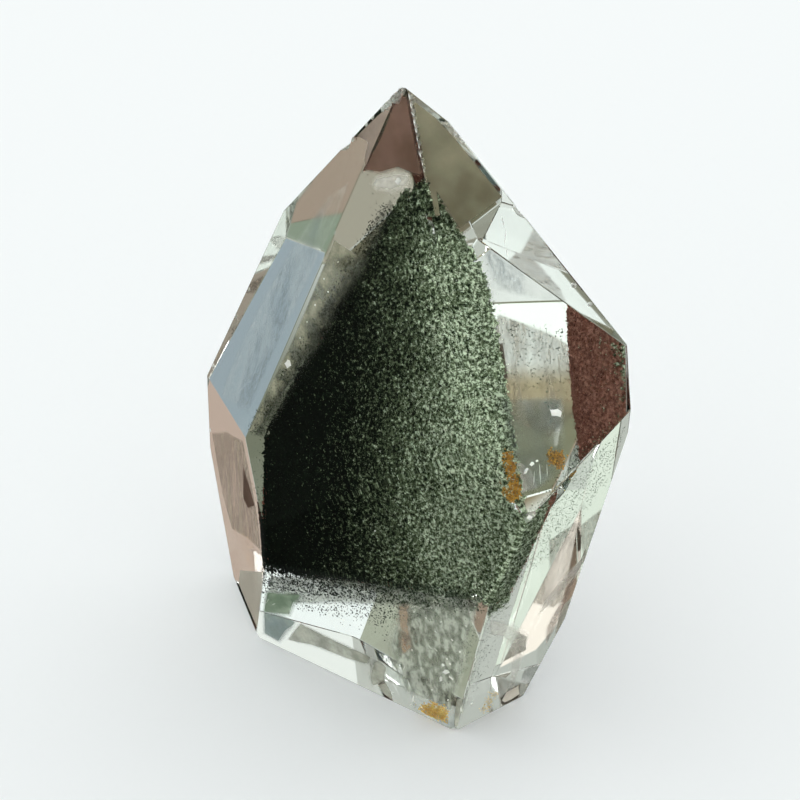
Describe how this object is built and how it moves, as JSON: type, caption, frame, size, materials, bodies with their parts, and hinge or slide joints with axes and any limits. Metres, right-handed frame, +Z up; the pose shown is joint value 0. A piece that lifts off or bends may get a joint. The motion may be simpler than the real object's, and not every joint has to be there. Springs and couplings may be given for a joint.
{
  "type": "garden phantom quartz freeform",
  "caption": "Clear polished quartz freeform with flat facets and a dark green phantom pyramid inside, standing on a flat cut base.",
  "frame": {"origin": "middle of the stone's box, on the flat base that it stands on", "axes": "+Z up along the stone, tip at the top; -Y towards the pictured side"},
  "size_m": [0.0495, 0.0463, 0.0783],
  "materials": {
    "clear_quartz": "polished, clear, faintly hazy",
    "green_chlorite": "dull, grainy dark green",
    "iron_stain": "dull rusty orange",
    "healed_crack": "bright, broken, silvery white"
  },
  "bodies": {
    "root": {"clear_quartz_front": "clear_quartz", "clear_quartz_back": "clear_quartz", "green_phantom": "green_chlorite"}
  },
  "joints": []
}
